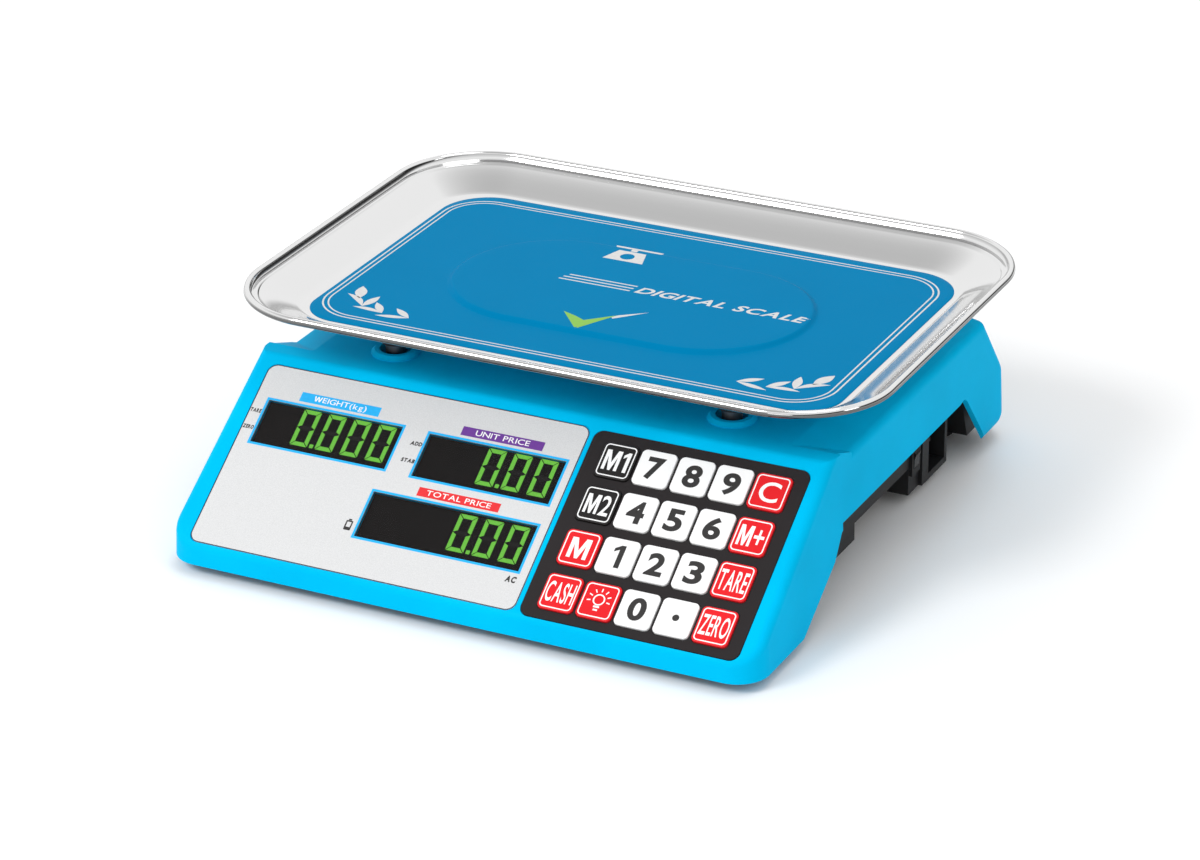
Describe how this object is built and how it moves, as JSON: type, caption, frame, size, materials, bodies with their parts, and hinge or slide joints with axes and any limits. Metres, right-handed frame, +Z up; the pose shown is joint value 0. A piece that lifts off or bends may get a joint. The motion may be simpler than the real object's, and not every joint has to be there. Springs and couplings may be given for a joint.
{
  "type": "retail price scale",
  "caption": "Counter price-computing scale: sloping panel with three LED windows and a numeric keypad, stainless pan over a load cell, display for the customer behind, black base tray.",
  "frame": {"origin": "centre of the footprint, on the surface that the feet stand on", "axes": "+X to the operator's right, +Y from the operator to the customer, +Z up"},
  "size_m": [0.34, 0.3214, 0.1084],
  "materials": {
    "housing_blue": "satin moulded",
    "base_black": "fine moulded texture",
    "panel_silver": "fine brushed silver print",
    "window_tint": "smoked, glossy",
    "led_black": "matt black",
    "circuit_board": "solder resist",
    "keypad_black": "satin",
    "silicone": "soft",
    "key_white": "satin",
    "key_red": "satin",
    "key_black": "satin",
    "stainless": "bright pressed",
    "film_blue": "smooth film",
    "support_metal": "cast and machined",
    "rubber_black": "matt",
    "steel_zinc": "zinc plated",
    "battery_case": "moulded",
    "switch_black": "satin",
    "level_glass": "clear, tinted liquid"
  },
  "bodies": {
    "housing": {"base_housing": "base_black", "battery": "battery_case", "board_screws": "steel_zinc", "bubble_level": "level_glass", "display_board": "circuit_board", "display_panel": "panel_silver", "housing_screws": "steel_zinc", "keypad_bezel": "keypad_black", "keypad_board": "circuit_board", "keypad_dome_mat": "silicone", "load_cell": "support_metal", "load_cell_bolts": "steel_zinc", "main_board": "circuit_board", "power_inlet": "base_black", "power_switch_body": "base_black", "rear_display_board": "circuit_board", "rear_display_panel": "panel_silver", "rear_led_displays": "led_black", "rear_windows": "window_tint", "total_price_led_display": "led_black", "total_price_window": "window_tint", "transformer": "steel_zinc", "unit_price_led_display": "led_black", "unit_price_window": "window_tint", "upper_housing": "housing_blue", "weight_led_display": "led_black", "weight_window": "window_tint"},
    "key_cash": {"key_cash": "key_red"},
    "key_lamp": {"key_lamp": "key_red"},
    "key_0": {"key_0": "key_white"},
    "key_point": {"key_point": "key_white"},
    "key_zero": {"key_zero": "key_red"},
    "key_m": {"key_m": "key_red"},
    "key_1": {"key_1": "key_white"},
    "key_2": {"key_2": "key_white"},
    "key_3": {"key_3": "key_white"},
    "key_tare": {"key_tare": "key_red"},
    "key_m2": {"key_m2": "key_black"},
    "key_4": {"key_4": "key_white"},
    "key_5": {"key_5": "key_white"},
    "key_6": {"key_6": "key_white"},
    "key_m_plus": {"key_m_plus": "key_red"},
    "key_m1": {"key_m1": "key_black"},
    "key_7": {"key_7": "key_white"},
    "key_8": {"key_8": "key_white"},
    "key_9": {"key_9": "key_white"},
    "key_c": {"key_c": "key_red"},
    "pan_support": {"pan_support": "support_metal", "pan_support_caps": "rubber_black", "platform_bolts": "steel_zinc"},
    "weighing_pan": {"weighing_pan": "stainless", "pan_film": "film_blue"},
    "foot_front_left": {"foot_front_left": "rubber_black"},
    "foot_front_right": {"foot_front_right": "rubber_black"},
    "foot_rear_left": {"foot_rear_left": "rubber_black"},
    "foot_rear_right": {"foot_rear_right": "rubber_black"},
    "power_rocker": {"power_rocker": "switch_black"},
    "battery_cover": {"battery_cover": "base_black"}
  },
  "joints": [
    {"name": "key_cash_press", "type": "slide", "parent": "housing", "child": "key_cash", "axis": [0, 0.5736, -0.8192], "range_m": [0, 0.0008], "stiffness_N_per_m": 400, "springref_m": -0.0008},
    {"name": "key_lamp_press", "type": "slide", "parent": "housing", "child": "key_lamp", "axis": [0, 0.5736, -0.8192], "range_m": [0, 0.0008], "stiffness_N_per_m": 400, "springref_m": -0.0008},
    {"name": "key_0_press", "type": "slide", "parent": "housing", "child": "key_0", "axis": [0, 0.5736, -0.8192], "range_m": [0, 0.0008], "stiffness_N_per_m": 400, "springref_m": -0.0008},
    {"name": "key_point_press", "type": "slide", "parent": "housing", "child": "key_point", "axis": [0, 0.5736, -0.8192], "range_m": [0, 0.0008], "stiffness_N_per_m": 400, "springref_m": -0.0008},
    {"name": "key_zero_press", "type": "slide", "parent": "housing", "child": "key_zero", "axis": [0, 0.5736, -0.8192], "range_m": [0, 0.0008], "stiffness_N_per_m": 400, "springref_m": -0.0008},
    {"name": "key_m_press", "type": "slide", "parent": "housing", "child": "key_m", "axis": [0, 0.5736, -0.8192], "range_m": [0, 0.0008], "stiffness_N_per_m": 400, "springref_m": -0.0008},
    {"name": "key_1_press", "type": "slide", "parent": "housing", "child": "key_1", "axis": [0, 0.5736, -0.8192], "range_m": [0, 0.0008], "stiffness_N_per_m": 400, "springref_m": -0.0008},
    {"name": "key_2_press", "type": "slide", "parent": "housing", "child": "key_2", "axis": [0, 0.5736, -0.8192], "range_m": [0, 0.0008], "stiffness_N_per_m": 400, "springref_m": -0.0008},
    {"name": "key_3_press", "type": "slide", "parent": "housing", "child": "key_3", "axis": [0, 0.5736, -0.8192], "range_m": [0, 0.0008], "stiffness_N_per_m": 400, "springref_m": -0.0008},
    {"name": "key_tare_press", "type": "slide", "parent": "housing", "child": "key_tare", "axis": [0, 0.5736, -0.8192], "range_m": [0, 0.0008], "stiffness_N_per_m": 400, "springref_m": -0.0008},
    {"name": "key_m2_press", "type": "slide", "parent": "housing", "child": "key_m2", "axis": [0, 0.5736, -0.8192], "range_m": [0, 0.0008], "stiffness_N_per_m": 400, "springref_m": -0.0008},
    {"name": "key_4_press", "type": "slide", "parent": "housing", "child": "key_4", "axis": [0, 0.5736, -0.8192], "range_m": [0, 0.0008], "stiffness_N_per_m": 400, "springref_m": -0.0008},
    {"name": "key_5_press", "type": "slide", "parent": "housing", "child": "key_5", "axis": [0, 0.5736, -0.8192], "range_m": [0, 0.0008], "stiffness_N_per_m": 400, "springref_m": -0.0008},
    {"name": "key_6_press", "type": "slide", "parent": "housing", "child": "key_6", "axis": [0, 0.5736, -0.8192], "range_m": [0, 0.0008], "stiffness_N_per_m": 400, "springref_m": -0.0008},
    {"name": "key_m_plus_press", "type": "slide", "parent": "housing", "child": "key_m_plus", "axis": [0, 0.5736, -0.8192], "range_m": [0, 0.0008], "stiffness_N_per_m": 400, "springref_m": -0.0008},
    {"name": "key_m1_press", "type": "slide", "parent": "housing", "child": "key_m1", "axis": [0, 0.5736, -0.8192], "range_m": [0, 0.0008], "stiffness_N_per_m": 400, "springref_m": -0.0008},
    {"name": "key_7_press", "type": "slide", "parent": "housing", "child": "key_7", "axis": [0, 0.5736, -0.8192], "range_m": [0, 0.0008], "stiffness_N_per_m": 400, "springref_m": -0.0008},
    {"name": "key_8_press", "type": "slide", "parent": "housing", "child": "key_8", "axis": [0, 0.5736, -0.8192], "range_m": [0, 0.0008], "stiffness_N_per_m": 400, "springref_m": -0.0008},
    {"name": "key_9_press", "type": "slide", "parent": "housing", "child": "key_9", "axis": [0, 0.5736, -0.8192], "range_m": [0, 0.0008], "stiffness_N_per_m": 400, "springref_m": -0.0008},
    {"name": "key_c_press", "type": "slide", "parent": "housing", "child": "key_c", "axis": [0, 0.5736, -0.8192], "range_m": [0, 0.0008], "stiffness_N_per_m": 400, "springref_m": -0.0008},
    {"name": "pan_support_sink", "type": "slide", "parent": "housing", "child": "pan_support", "axis": [0, 0, -1], "range_m": [0, 0.0005], "stiffness_N_per_m": 60000, "springref_m": -0.0003, "deforming": ["load_cell"]},
    {"name": "pan_lift_off", "type": "slide", "parent": "pan_support", "child": "weighing_pan", "axis": [0, 0, 1], "range_m": [0, 0.06]},
    {"name": "foot_front_left_height", "type": "slide", "parent": "housing", "child": "foot_front_left", "axis": [0, 0, -1], "range_m": [0, 0.005]},
    {"name": "foot_front_right_height", "type": "slide", "parent": "housing", "child": "foot_front_right", "axis": [0, 0, -1], "range_m": [0, 0.005]},
    {"name": "foot_rear_left_height", "type": "slide", "parent": "housing", "child": "foot_rear_left", "axis": [0, 0, -1], "range_m": [0, 0.005]},
    {"name": "foot_rear_right_height", "type": "slide", "parent": "housing", "child": "foot_rear_right", "axis": [0, 0, -1], "range_m": [0, 0.005]},
    {"name": "power_rocker_tilt", "type": "hinge", "parent": "housing", "child": "power_rocker", "pos_m": [0.138, 0.0603, 0.024], "axis": [0, -1, 0], "range_deg": [0, 18]},
    {"name": "battery_cover_off", "type": "slide", "parent": "housing", "child": "battery_cover", "axis": [0, 0, -1], "range_m": [0, 0.006]}
  ]
}
